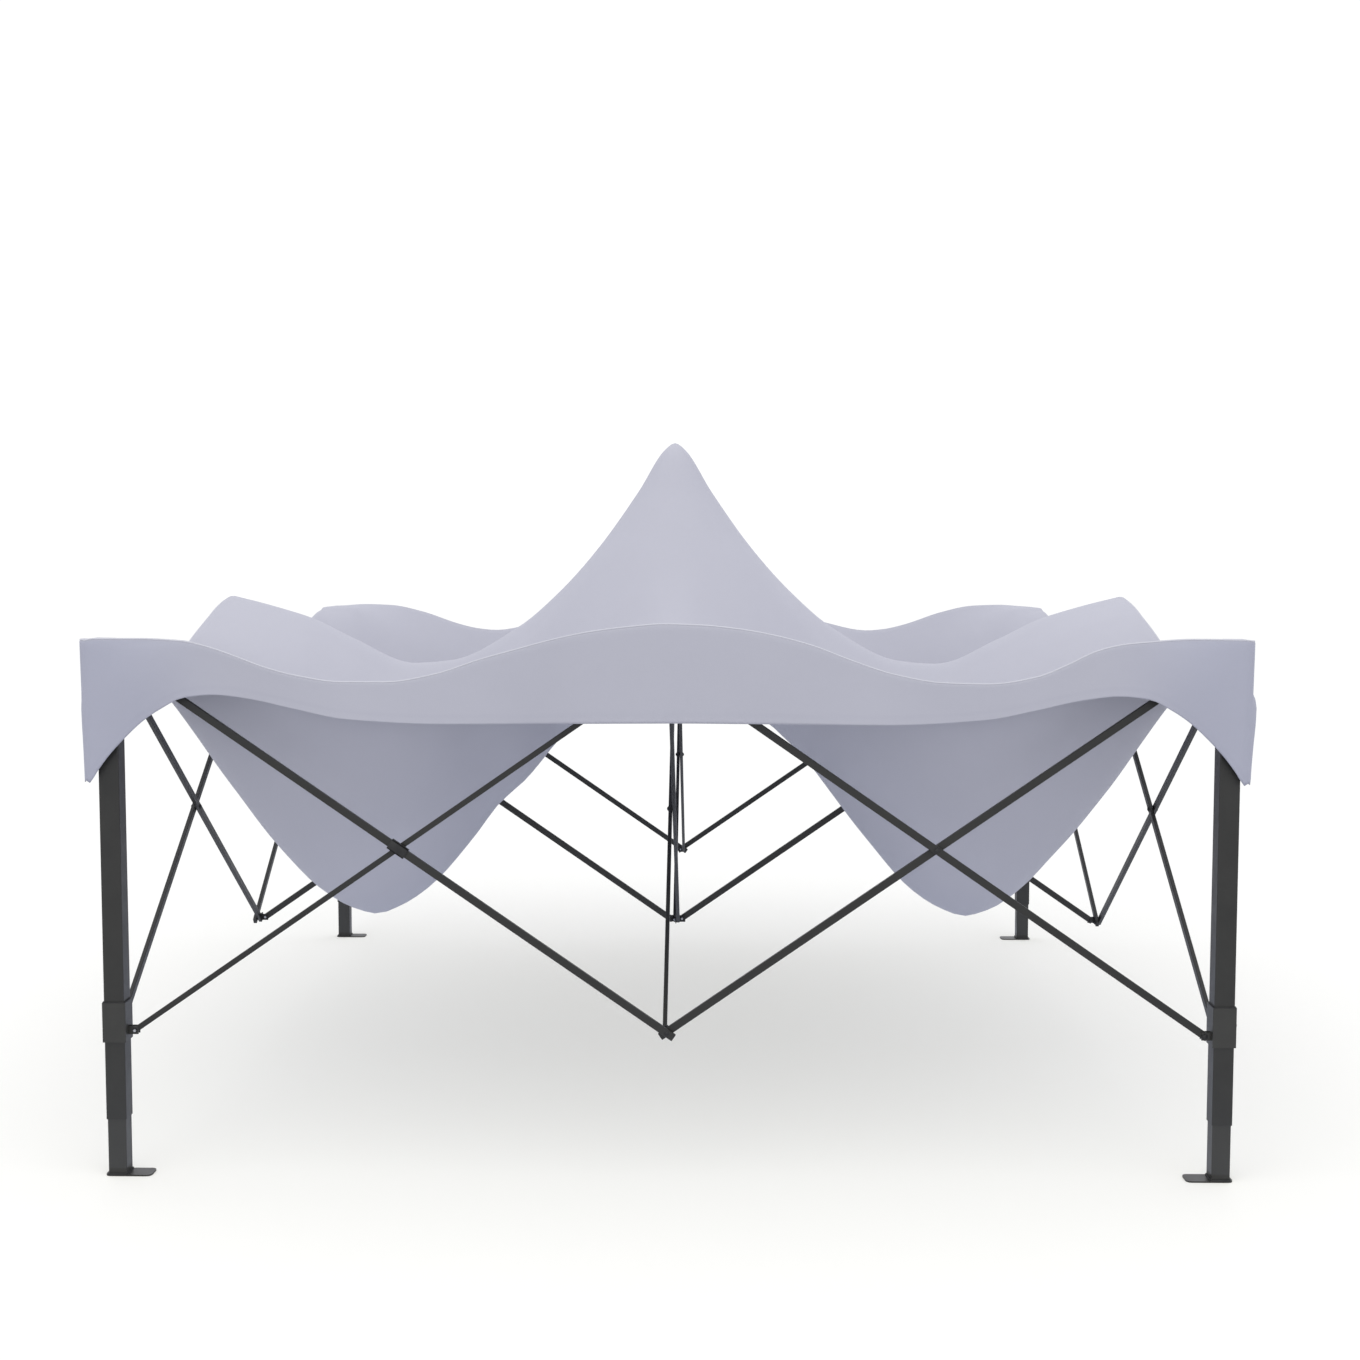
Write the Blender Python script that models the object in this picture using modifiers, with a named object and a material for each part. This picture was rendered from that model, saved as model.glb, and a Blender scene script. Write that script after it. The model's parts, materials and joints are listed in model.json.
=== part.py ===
"""Pop-up party tent: a scissor frame on four telescopic legs under a loose, peaked canopy.

Metres, +Z up. The origin is on the ground under the middle of the tent, and -Y is its front.
Each side of the square has two scissor bays, and four inner bays meet at the centre under the mast.
"""
import math

import bmesh
import bpy
from mathutils import Matrix, Vector
from mathutils.bvhtree import BVHTree

# Frame: heights and plan positions of the pivots
LEG_CENTRE = 1.520
LUG_REACH = 0.049
HUB_REACH = 0.020
TOP_PIVOT = 1.424
BOTTOM_PIVOT = 0.404
BAY = LEG_CENTRE - LUG_REACH
RISE = TOP_PIVOT - BOTTOM_PIVOT
BAR_SPAN = math.hypot(BAY, RISE)
BAR_SLOPE = math.atan2(RISE, BAY)
MIDDLE_PIVOT = (TOP_PIVOT + BOTTOM_PIVOT) / 2
TRUSS_ARM = LUG_REACH - HUB_REACH
INNER_REACH = HUB_REACH + BAY

# Clearances, and how far a cutter runs past the face that it opens
GAP = 0.0003
SLIDING_GAP = 0.0005
OVERRUN = 0.010

# Bars, which lie side by side in two lanes, and how far each kind of end runs past its pivot
BAR_HEIGHT = 0.021
THIN_BAR_HEIGHT = 0.0154
BAR_THICKNESS = 0.012
LANE = (BAR_THICKNESS + GAP) / 2
HUB_END = 0.0105
ARM_END = 0.006
SIDE_END = 0.023
LEG_END = 0.0105
BAR_EDGE = 0.0012
BAR_EDGE_ANGLE = math.radians(50)
END_ROUNDING = 0.45
END_SEGMENTS = 4

# Legs, sliders and feet
OUTER_LEG = 0.0558
INNER_LEG = 0.0508
LEG_WALL = 0.002
OUTER_LEG_FOOT = 0.160
INNER_LEG_TOP = 1.060
TUBE_RADIUS = 0.003
FOOT_LENGTH = 0.128
FOOT_WIDTH = 0.058
FOOT_THICKNESS = 0.004
FOOT_HEEL = 0.0343
FOOT_RADIUS = 0.014
BORE_FLOOR = 0.008
SLIDER = 0.0645
SLIDER_BOTTOM = 0.377
SLIDER_TOP = 0.487
LEG_CAP = 0.064
LEG_CAP_BOTTOM = 1.400
LEG_CAP_ROOF = 0.012

# Lugs and joint plates that carry the bars
PLATE = 0.003
LUG_HEIGHT = 0.022
LUG_OVERHANG = 0.009
LUG_ROOT = 0.0015
JOINT_PLATE_WIDTH = 0.030
JOINT_PLATE_HEIGHT = 0.028
REST_PAD_DEPTH = 0.018
HUB_HEIGHT = 0.024
HUB_COLUMN = 0.016
HUB_LUG_END = 0.032
HUB_NECK = 0.018

# Mast
MAST_RADIUS = 0.016
SOCKET_RADIUS = 0.025
SOCKET_BOTTOM = TOP_PIVOT + 0.013
SOCKET_FLOOR = 0.010
SOCKET_TOP = TOP_PIVOT + 0.070
MAST_CAP_RADIUS = 0.027
MAST_CAP_CROWN = 0.030
MAST_CAP_SHOULDER = 0.010
MAST_CAP_HEIGHT = 0.060
ROUND_SIDES = 24
ROUND_ANGLE = math.radians(40)

# Canopy: heights over the distance from the middle, in metres
CANOPY_HALF = 1.578
FABRIC = 0.003
PEAK = (
    (0.000, 2.111), (0.036, 2.088), (0.130, 1.944), (0.270, 1.748), (0.410, 1.591), (0.560, 1.460),
    (0.800, 1.338), (0.940, 1.327),
)
RIDGE_TO_SIDES = PEAK + ((1.156, 1.414), (1.310, 1.490), (1.450, 1.535), (CANOPY_HALF, 1.568))
RIDGE_TO_FRONT = PEAK + ((1.156, 1.405), (1.310, 1.470), (1.450, 1.508), (CANOPY_HALF, 1.528))
EDGE_TO_CORNER = (
    (0.875, 1.371), (1.000, 1.386), (1.160, 1.453), (1.300, 1.486), (1.420, 1.493), (CANOPY_HALF, 1.492),
)
SIDE_EDGE = (
    (0.000, 1.568), (0.100, 1.556), (0.200, 1.535), (0.300, 1.506), (0.460, 1.459), (0.620, 1.411),
) + EDGE_TO_CORNER
FRONT_EDGE = ((0.000, 1.528), (0.200, 1.514), (0.400, 1.476), (0.620, 1.404)) + EDGE_TO_CORNER
BACK_EDGE = (
    (0.000, 1.528), (0.200, 1.514), (0.400, 1.476), (0.620, 1.420), (0.830, 1.379), (0.910, 1.386),
    (1.000, 1.407), (1.160, 1.461), (1.300, 1.487), (1.420, 1.493), (CANOPY_HALF, 1.492),
)
VALANCE = (
    (0.000, 1.265), (0.600, 1.262), (0.860, 1.273), (1.130, 1.327), (1.300, 1.334), (1.400, 1.283),
    (1.500, 1.181), (CANOPY_HALF, 1.098),
)
POCKET_SHARE = (
    (0.000, 0.00), (0.230, 0.03), (0.410, 0.09), (0.600, 0.48), (0.750, 0.81), (0.900, 1.00),
    (1.060, 1.00), (1.300, 0.69), (1.480, 0.23), (CANOPY_HALF, 0.00),
)
POCKET_DEPTH = 0.460
LEG_HOLD = 0.160
GRID_HALF = 15
GRID_CLUSTER = 0.70
VALANCE_ROWS = 2

# Base colour, roughness and metallic value of each material
FRAME_PAINT = ((0.052, 0.053, 0.055), 0.45, 0.2)
JOINT_PLASTIC = ((0.030, 0.031, 0.033), 0.55, 0.0)
CANOPY_FABRIC = ((0.552, 0.558, 0.630), 0.85, 0.0)

UP = Vector((0, 0, 1))
ALONG_Y = 1
ALONG_Z = 2
PARALLEL = 0.999
SIDES = {
    "front": Vector((0, -1, 0)),
    "right": Vector((1, 0, 0)),
    "back": Vector((0, 1, 0)),
    "left": Vector((-1, 0, 0)),
}


def clear_scene():
    for obj in list(bpy.data.objects):
        bpy.data.objects.remove(obj, do_unlink=True)


def new_collection(name):
    collection = bpy.data.collections.new(name)
    bpy.context.scene.collection.children.link(collection)
    return collection


def new_material(name, finish):
    colour, roughness, metallic = finish
    material = bpy.data.materials.new(name)
    material.use_nodes = True
    shader = material.node_tree.nodes["Principled BSDF"]
    shader.inputs["Base Color"].default_value = (*colour, 1)
    shader.inputs["Roughness"].default_value = roughness
    shader.inputs["Metallic"].default_value = metallic
    return material


def new_object(bm, name, matrix, collection):
    mesh = bpy.data.meshes.new(name)
    bm.to_mesh(mesh)
    bm.free()
    obj = bpy.data.objects.new(name, mesh)
    obj.matrix_world = matrix
    collection.objects.link(obj)
    return obj


def piece(bm, name, matrix, finish):
    """An object of the tent, whose mesh is given in the frame of matrix."""
    obj = new_object(bm, name, matrix, TENT)
    obj.data.materials.append(new_material(name, finish))
    return obj


def combine(obj, operation, bm, name, matrix):
    """Joins a shape to an object, or cuts it out."""
    tool = new_object(bm, name, matrix, CUTTERS)
    tool.hide_render = True
    tool.display_type = "WIRE"
    modifier = obj.modifiers.new(name, "BOOLEAN")
    modifier.operation = operation
    modifier.object = tool


def runs_along(edge, axis):
    run = edge.verts[1].co - edge.verts[0].co
    return abs(run[axis]) > PARALLEL * run.length


def box(low, high, radius=0.0):
    """A box between two corners, its edges along Z rounded where a radius is given."""
    bm = bmesh.new()
    low = Vector(low)
    size = Vector(high) - low
    bmesh.ops.create_cube(bm, size=1)
    bmesh.ops.scale(bm, vec=size, verts=bm.verts)
    bmesh.ops.translate(bm, vec=low + size / 2, verts=bm.verts)
    if radius:
        edges = [edge for edge in bm.edges if runs_along(edge, ALONG_Z)]
        bmesh.ops.bevel(bm, geom=edges, offset=radius, segments=3, profile=0.5, affect="EDGES")
    return bm


def square_post(half, bottom, top, radius):
    return box((-half, -half, bottom), (half, half, top), radius)


def cylinder(radius, bottom, top):
    bm = bmesh.new()
    bmesh.ops.create_cone(
        bm, cap_ends=True, segments=ROUND_SIDES, radius1=radius, radius2=radius, depth=top - bottom
    )
    bmesh.ops.translate(bm, vec=UP * (top + bottom) / 2, verts=bm.verts)
    return bm


def axes_at(origin, along, across):
    """A frame at origin with X along, Y across and Z square to both."""
    matrix = Matrix((along, across, along.cross(across))).transposed().to_4x4()
    matrix.translation = origin
    return matrix


def corner_name(point):
    return ("front" if point.y < 0 else "back") + "_" + ("left" if point.x < 0 else "right")


def bays():
    """Each side's two bays: side name, outward direction, direction from the middle to the leg."""
    for side, outward in SIDES.items():
        tangent = UP.cross(outward)
        yield side, outward, tangent
        yield side, outward, -tangent


def knot_slope(knots, index):
    """Slope of the curve at a knot, level at the start and at each crest or trough."""
    if index == 0:
        return 0.0
    (x0, y0), (x1, y1) = knots[index - 1], knots[index]
    before = (y1 - y0) / (x1 - x0)
    if index == len(knots) - 1:
        return before
    x2, y2 = knots[index + 1]
    after = (y2 - y1) / (x2 - x1)
    if before * after <= 0:
        return 0.0
    return 2 * before * after / (before + after)


def curve_height(knots, distance):
    """Height of a smooth curve through the knots, with no bump between them."""
    distance = min(max(distance, knots[0][0]), knots[-1][0])
    index = 0
    while index < len(knots) - 2 and distance > knots[index + 1][0]:
        index += 1
    (x0, y0), (x1, y1) = knots[index], knots[index + 1]
    width = x1 - x0
    t = (distance - x0) / width
    slope0 = knot_slope(knots, index) * width
    slope1 = knot_slope(knots, index + 1) * width
    rise = y1 - y0
    return y0 + t * (slope0 + t * (3 * rise - 2 * slope0 - slope1 + t * (slope0 + slope1 - 2 * rise)))


def canopy_height(x, y):
    """Top of the fabric: a sheet spanned between ridges and edges, less the pocket in each quarter."""
    edge = BACK_EDGE if y > 0 else FRONT_EDGE
    x = abs(x)
    y = abs(y)
    u = x / CANOPY_HALF
    v = y / CANOPY_HALF
    across = (1 - u) * curve_height(RIDGE_TO_FRONT, y) + u * curve_height(SIDE_EDGE, y)
    along = (1 - v) * curve_height(RIDGE_TO_SIDES, x) + v * curve_height(edge, x)
    near = (1 - v) * ((1 - u) * PEAK[0][1] + u * SIDE_EDGE[0][1])
    far = v * ((1 - u) * edge[0][1] + u * edge[-1][1])
    share = curve_height(POCKET_SHARE, x) * curve_height(POCKET_SHARE, y)
    from_leg = math.hypot(x - LEG_CENTRE, y - LEG_CENTRE)
    held = math.exp(-((from_leg / LEG_HOLD) ** 2))
    return across + along - near - far - POCKET_DEPTH * share * (1 - held)


def grid_line(t):
    """Distance of a grid line from the middle, closer together at the peak and at the edge."""
    size = abs(t)
    distance = CANOPY_HALF * (size - GRID_CLUSTER * math.sin(2 * math.pi * size) / (2 * math.pi))
    return math.copysign(distance, t)


def make_canopy():
    bm = bmesh.new()
    bmesh.ops.create_grid(bm, x_segments=2 * GRID_HALF, y_segments=2 * GRID_HALF, size=1)
    for vertex in bm.verts:
        x = grid_line(vertex.co.x)
        y = grid_line(vertex.co.y)
        vertex.co = (x, y, canopy_height(x, y))
    rim = [edge for edge in bm.edges if edge.is_boundary]
    for rows_left in range(VALANCE_ROWS, 0, -1):
        made = bmesh.ops.extrude_edge_only(bm, edges=rim)["geom"]
        rim = [item for item in made if isinstance(item, bmesh.types.BMEdge)]
        for vertex in {vertex for edge in rim for vertex in edge.verts}:
            along = min(abs(vertex.co.x), abs(vertex.co.y))
            vertex.co.z += (curve_height(VALANCE, along) - vertex.co.z) / rows_left
    canopy = piece(bm, "canopy", Matrix(), CANOPY_FABRIC)
    fabric = canopy.modifiers.new("fabric", "SOLIDIFY")
    fabric.thickness = FABRIC
    fabric.offset = -1
    canopy.data.shade_smooth()
    return canopy


def lowest_underside(canopy, points):
    """Height of the canopy's lower face over the lowest of some points of the plan."""
    bpy.context.view_layer.update()
    tree = BVHTree.FromObject(canopy, bpy.context.evaluated_depsgraph_get())
    return min(tree.ray_cast(Vector((x, y, BOTTOM_PIVOT)), UP)[0].z for x, y in points)


def grid_around(centre, half_x, half_y):
    """Nine points of the plan: the centre, the corners and the middles of a rectangle's sides."""
    return [(centre.x + i * half_x, centre.y + j * half_y) for i in (-1, 0, 1) for j in (-1, 0, 1)]


def make_bar(name, pivot, direction, lane, start, end, height=BAR_HEIGHT):
    """A bar along direction in its lane, from start to end of the pivot that is its origin."""
    across = UP.cross(direction).normalized()
    low = (start, lane - BAR_THICKNESS / 2, -height / 2)
    high = (end, lane + BAR_THICKNESS / 2, height / 2)
    bar = piece(box(low, high), name, axes_at(pivot, direction, across), FRAME_PAINT)
    edges = bar.modifiers.new("edges", "BEVEL")
    edges.width = BAR_EDGE
    edges.segments = 1
    edges.limit_method = "ANGLE"
    edges.angle_limit = BAR_EDGE_ANGLE
    return bar


def round_start(bar, height):
    """Rounds a bar's first end about its pin, so that it turns clear of the hub's column."""
    bm = bmesh.new()
    bm.from_mesh(bar.data)
    start = min(vertex.co.x for vertex in bm.verts)
    edges = [edge for edge in bm.edges if runs_along(edge, ALONG_Y) and edge.verts[0].co.x < start + GAP]
    bmesh.ops.bevel(
        bm, geom=edges, offset=END_ROUNDING * height, segments=END_SEGMENTS, profile=0.5, affect="EDGES"
    )
    bm.to_mesh(bar.data)
    bm.free()


def bar_directions(direction):
    """The falling and the rising direction of a bay's two bars."""
    level = direction * math.cos(BAR_SLOPE)
    return level - UP * math.sin(BAR_SLOPE), level + UP * math.sin(BAR_SLOPE)


def make_inner_trusses():
    """Four scissors from the centre hubs to the middles of the sides."""
    half = BAR_SPAN / 2
    for side, outward in SIDES.items():
        falling, rising = bar_directions(outward)
        hub = outward * HUB_REACH + UP * TOP_PIVOT
        crossing = outward * (HUB_REACH + BAY / 2) + UP * MIDDLE_PIVOT
        down = make_bar(f"inner_{side}_bar_down", hub, falling, -LANE, -HUB_END, BAR_SPAN + ARM_END)
        up = make_bar(f"inner_{side}_bar_up", crossing, rising, LANE, -half - HUB_END, half + ARM_END)
        round_start(down, BAR_HEIGHT)
        round_start(up, BAR_HEIGHT)


def make_side_trusses():
    """Two scissors on each side, from the side's middle joints to the legs."""
    half = BAR_SPAN / 2
    for side, outward, direction in bays():
        falling, rising = bar_directions(direction)
        top = outward * LEG_CENTRE + UP * TOP_PIVOT
        crossing = outward * LEG_CENTRE + direction * BAY / 2 + UP * MIDDLE_PIVOT
        corner = corner_name(outward + direction)
        height = THIN_BAR_HEIGHT if (side, corner) == ("front", "front_left") else BAR_HEIGHT
        name = f"{side}_truss_{corner}_bar"
        make_bar(f"{name}_down", top, falling, -LANE, -SIDE_END, BAR_SPAN + LEG_END, height)
        make_bar(f"{name}_up", crossing, rising, LANE, -half - SIDE_END, half + LEG_END)


def beside_bar(lane_side, start, end, height):
    """A lug from start to end along X, on one side of the gap between a truss's two lanes."""
    faces = sorted((lane_side * GAP / 2, lane_side * (GAP / 2 + PLATE)))
    return box((start, faces[0], -height / 2), (end, faces[1], height / 2))


def make_side_joint(name, outward, height, lane_side, plate_top):
    """A plate behind the side's two bars, with one lug for the inner bar beside it."""
    frame = axes_at(outward * INNER_REACH + UP * height, outward, UP.cross(outward))
    plate_in = TRUSS_ARM - LANE - BAR_THICKNESS / 2 - GAP - PLATE
    half_width = JOINT_PLATE_WIDTH / 2
    plate = box((plate_in, -half_width, -JOINT_PLATE_HEIGHT / 2), (plate_in + PLATE, half_width, plate_top))
    joint = piece(plate, name, frame, JOINT_PLASTIC)
    lug = beside_bar(lane_side, -LUG_OVERHANG, plate_in + PLATE / 2, LUG_HEIGHT)
    combine(joint, "UNION", lug, name + "_lug", frame)
    return joint, frame, plate_in


def make_side_joints(canopy):
    """The lower joints, and the upper ones with the pads that the canopy's ridges rest on."""
    half_width = JOINT_PLATE_WIDTH / 2
    for side, outward in SIDES.items():
        make_side_joint(f"{side}_bottom_joint", outward, BOTTOM_PIVOT, 1, JOINT_PLATE_HEIGHT / 2)
        seat = outward * (INNER_REACH + TRUSS_ARM - LANE)
        points = grid_around(seat, REST_PAD_DEPTH, REST_PAD_DEPTH)
        top = lowest_underside(canopy, points) - GAP - TOP_PIVOT
        name = f"{side}_top_joint"
        joint, frame, plate_in = make_side_joint(name, outward, TOP_PIVOT, -1, top - PLATE / 2)
        pad = box((plate_in, -half_width, top - PLATE), (plate_in + REST_PAD_DEPTH, half_width, top))
        combine(joint, "UNION", pad, name + "_pad", frame)


def make_hub(name, height, lane_side):
    """A centre column with four lugs, each beside the end of one inner bar."""
    frame = Matrix.Translation(UP * height)
    column = square_post(HUB_COLUMN / 2, -HUB_HEIGHT / 2, HUB_HEIGHT / 2, 0.0)
    hub = piece(column, name, frame, JOINT_PLASTIC)
    for side, outward in SIDES.items():
        lug = beside_bar(lane_side, 0.0, HUB_LUG_END, HUB_HEIGHT)
        combine(hub, "UNION", lug, f"{name}_{side}_lug", axes_at(UP * height, outward, UP.cross(outward)))
    return hub, frame


def make_centre():
    """The two hubs, and the mast in the socket of the upper one."""
    make_hub("centre_bottom_hub", BOTTOM_PIVOT, -1)
    hub, frame = make_hub("centre_top_hub", TOP_PIVOT, 1)
    neck = square_post(HUB_COLUMN / 2, 0.0, HUB_NECK, 0.0)
    combine(hub, "UNION", neck, "centre_top_hub_neck", frame)
    socket = cylinder(SOCKET_RADIUS, SOCKET_BOTTOM, SOCKET_TOP)
    combine(hub, "UNION", socket, "centre_top_hub_socket", Matrix())
    floor = SOCKET_BOTTOM + SOCKET_FLOOR
    bore = cylinder(MAST_RADIUS + GAP, floor, SOCKET_TOP + OVERRUN)
    combine(hub, "DIFFERENCE", bore, "centre_top_hub_bore", Matrix())
    cap_top = PEAK[0][1] - FABRIC - GAP
    cap_bottom = cap_top - MAST_CAP_HEIGHT
    mast = piece(cylinder(MAST_RADIUS, floor + GAP, cap_bottom), "centre_mast", Matrix(), FRAME_PAINT)
    mast.data.set_sharp_from_angle(angle=ROUND_ANGLE)
    make_mast_cap(cap_bottom + GAP, cap_top)


def make_mast_cap(bottom, top):
    """A low conical plug on the mast's top, which holds the peak of the canopy."""
    brim = top - MAST_CAP_CROWN
    profile = [
        (0.0, top),
        (MAST_CAP_RADIUS / 2, (top + brim) / 2),
        (MAST_CAP_RADIUS, brim),
        (MAST_CAP_RADIUS, bottom + MAST_CAP_SHOULDER),
        (MAST_RADIUS, bottom),
        (0.0, bottom),
    ]
    edges = [(index, index + 1) for index in range(len(profile) - 1)]
    mesh = bpy.data.meshes.new("mast_cap")
    mesh.from_pydata([(radius, 0, height) for radius, height in profile], edges, [])
    mesh.materials.append(new_material("mast_cap", JOINT_PLASTIC))
    cap = bpy.data.objects.new("mast_cap", mesh)
    TENT.objects.link(cap)
    turn = cap.modifiers.new("turn", "SCREW")
    turn.steps = ROUND_SIDES
    turn.render_steps = ROUND_SIDES
    turn.use_merge_vertices = True
    turn.merge_threshold = 0.0001


def add_lug_pairs(fitting, leg, height, face, lane_side):
    """Two pairs of lugs from a fitting's inner faces, each astride a bar's end in its lane."""
    for side, outward, direction in bays():
        if corner_name(outward + direction) != corner_name(leg):
            continue
        matrix = axes_at(leg + UP * height, -direction, UP.cross(-direction))
        for number, outer in enumerate((-1, 1)):
            near = -lane_side * LANE + outer * (BAR_THICKNESS / 2 + GAP)
            faces = sorted((near, near + outer * PLATE))
            low = (face - LUG_ROOT, faces[0], -LUG_HEIGHT / 2)
            high = (LUG_REACH + LUG_OVERHANG, faces[1], LUG_HEIGHT / 2)
            combine(fitting, "UNION", box(low, high), f"{fitting.name}_{side}_lug_{number}", matrix)


def make_leg(leg, canopy):
    """A leg's outer tube, the cap on its top and the slider that runs on it."""
    corner = corner_name(leg)
    frame = Matrix.Translation(leg)
    cap_half = LEG_CAP / 2
    cap_top = lowest_underside(canopy, grid_around(leg, cap_half, cap_half)) - GAP
    leg_top = cap_top - LEG_CAP_ROOF

    half = OUTER_LEG / 2
    name = f"outer_leg_{corner}"
    tube = piece(square_post(half, OUTER_LEG_FOOT, leg_top - GAP, TUBE_RADIUS), name, frame, FRAME_PAINT)
    bore = square_post(
        half - LEG_WALL, OUTER_LEG_FOOT - OVERRUN, leg_top + OVERRUN, TUBE_RADIUS - LEG_WALL
    )
    combine(tube, "DIFFERENCE", bore, name + "_bore", frame)

    name = f"leg_cap_{corner}"
    cap = piece(square_post(cap_half, LEG_CAP_BOTTOM, cap_top, TUBE_RADIUS), name, frame, JOINT_PLASTIC)
    add_lug_pairs(cap, leg, TOP_PIVOT, cap_half, 1)
    socket = square_post(half + GAP, LEG_CAP_BOTTOM - OVERRUN, leg_top, TUBE_RADIUS + GAP)
    combine(cap, "DIFFERENCE", socket, name + "_socket", frame)

    name = f"slider_{corner}"
    sleeve = SLIDER / 2
    slider = piece(
        square_post(sleeve, SLIDER_BOTTOM, SLIDER_TOP, TUBE_RADIUS), name, frame, FRAME_PAINT
    )
    add_lug_pairs(slider, leg, BOTTOM_PIVOT, sleeve, -1)
    passage = square_post(
        half + SLIDING_GAP, SLIDER_BOTTOM - OVERRUN, SLIDER_TOP + OVERRUN, TUBE_RADIUS + SLIDING_GAP
    )
    combine(slider, "DIFFERENCE", passage, name + "_bore", frame)


def make_inner_leg(leg):
    """The telescopic tube with its foot plate, whose long end points inwards along X."""
    name = f"inner_leg_{corner_name(leg)}"
    frame = Matrix.Translation(leg)
    half = INNER_LEG / 2
    tube = square_post(half, FOOT_THICKNESS / 2, INNER_LEG_TOP, TUBE_RADIUS)
    inner = piece(tube, name, frame, FRAME_PAINT)
    inward = -math.copysign(1, leg.x)
    ends = sorted((-FOOT_HEEL * inward, (FOOT_LENGTH - FOOT_HEEL) * inward))
    plate = box((ends[0], -FOOT_WIDTH / 2, 0), (ends[1], FOOT_WIDTH / 2, FOOT_THICKNESS), FOOT_RADIUS)
    combine(inner, "UNION", plate, name + "_foot", frame)
    bore = square_post(half - LEG_WALL, BORE_FLOOR, INNER_LEG_TOP + OVERRUN, TUBE_RADIUS - LEG_WALL)
    combine(inner, "DIFFERENCE", bore, name + "_bore", frame)


clear_scene()
TENT = new_collection("popup_party_tent")
CUTTERS = new_collection("cutters")
CANOPY = make_canopy()
make_inner_trusses()
make_side_trusses()
make_side_joints(CANOPY)
make_centre()
for LEG_X in (-LEG_CENTRE, LEG_CENTRE):
    for LEG_Y in (-LEG_CENTRE, LEG_CENTRE):
        LEG = Vector((LEG_X, LEG_Y, 0))
        make_leg(LEG, CANOPY)
        make_inner_leg(LEG)
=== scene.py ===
"""Looks for the pop-up party tent: draped canopy, hems, bolts, finishes, studio and camera."""
import json
import math

import bmesh
import bpy
from mathutils import Matrix, Vector

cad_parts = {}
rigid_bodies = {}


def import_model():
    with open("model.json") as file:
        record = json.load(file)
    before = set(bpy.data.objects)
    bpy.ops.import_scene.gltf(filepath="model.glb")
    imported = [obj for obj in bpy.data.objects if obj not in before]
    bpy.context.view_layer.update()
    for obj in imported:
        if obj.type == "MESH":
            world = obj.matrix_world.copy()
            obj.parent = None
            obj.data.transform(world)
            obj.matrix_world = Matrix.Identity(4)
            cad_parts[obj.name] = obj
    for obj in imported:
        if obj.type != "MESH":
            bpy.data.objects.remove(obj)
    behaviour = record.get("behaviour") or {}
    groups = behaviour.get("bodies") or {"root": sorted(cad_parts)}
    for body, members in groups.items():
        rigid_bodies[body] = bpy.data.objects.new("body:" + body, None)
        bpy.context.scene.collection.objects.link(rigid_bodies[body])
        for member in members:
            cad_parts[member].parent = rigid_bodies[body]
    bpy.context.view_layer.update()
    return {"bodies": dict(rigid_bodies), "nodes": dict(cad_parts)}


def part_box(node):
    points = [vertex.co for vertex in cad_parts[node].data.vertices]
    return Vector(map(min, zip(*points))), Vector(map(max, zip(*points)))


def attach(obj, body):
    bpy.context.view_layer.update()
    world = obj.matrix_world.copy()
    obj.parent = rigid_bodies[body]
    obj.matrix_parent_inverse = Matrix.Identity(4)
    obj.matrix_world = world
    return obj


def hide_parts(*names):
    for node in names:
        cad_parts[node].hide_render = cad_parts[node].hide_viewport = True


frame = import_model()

# ---- Sizes of the frame, in metres, as the solids have them
LEG_CENTRE = 1.520
LUG_REACH = 0.049
HUB_REACH = 0.020
TOP_PIVOT = 1.424
BOTTOM_PIVOT = 0.404
BAY = LEG_CENTRE - LUG_REACH
RISE = TOP_PIVOT - BOTTOM_PIVOT
MIDDLE_PIVOT = (TOP_PIVOT + BOTTOM_PIVOT) / 2
INNER_REACH = HUB_REACH + BAY
BAR_SLOPE = math.atan2(RISE, BAY)
BAR_HEIGHT = 0.021
BAR_THICKNESS = 0.012
GAP = 0.0003
LANE = (BAR_THICKNESS + GAP) / 2
BAR_OUTER = BAR_THICKNESS + GAP / 2
PLATE = 0.003
LUG_OUTER = BAR_THICKNESS / 2 + GAP + PLATE
OUTER_LEG = 0.0558
INNER_LEG = 0.0508
OUTER_LEG_FOOT = 0.160
FOOT_THICKNESS = 0.004
SLIDER = 0.0645
SLIDER_BOTTOM = 0.377
SLIDER_TOP = 0.487

# ---- Canopy: heights over the distance from the middle
CANOPY_HALF = 1.578
PEAK = (
    (0.000, 2.111), (0.036, 2.087), (0.130, 1.939), (0.270, 1.743), (0.410, 1.586), (0.560, 1.457),
    (0.800, 1.338), (0.940, 1.327),
)
RIDGE_TO_SIDES = PEAK + ((1.156, 1.414), (1.310, 1.490), (1.450, 1.535), (CANOPY_HALF, 1.568))
RIDGE_TO_BACK = PEAK + ((1.156, 1.405), (1.310, 1.470), (1.450, 1.508), (CANOPY_HALF, 1.528))
RIDGE_TO_FRONT = PEAK + ((1.156, 1.405), (1.310, 1.470), (1.450, 1.511), (CANOPY_HALF, 1.534))
SIDE_MIDDLE = (
    (0.000, 1.568), (0.100, 1.556), (0.200, 1.535), (0.300, 1.506), (0.460, 1.459), (0.620, 1.411),
)
SIDE_MIDDLE_RIGHT = (
    (0.000, 1.568), (0.100, 1.556), (0.200, 1.537), (0.300, 1.511), (0.420, 1.480), (0.530, 1.450),
    (0.620, 1.423),
)
SIDE_TROUGH = ((0.875, 1.372), (1.000, 1.383), (1.100, 1.407), (1.240, 1.445))
TO_BACK_CORNER = ((1.370, 1.467), (1.480, 1.476), (CANOPY_HALF, 1.482))
TO_FRONT_CORNER = ((1.370, 1.469), (1.480, 1.482), (CANOPY_HALF, 1.492))
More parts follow.
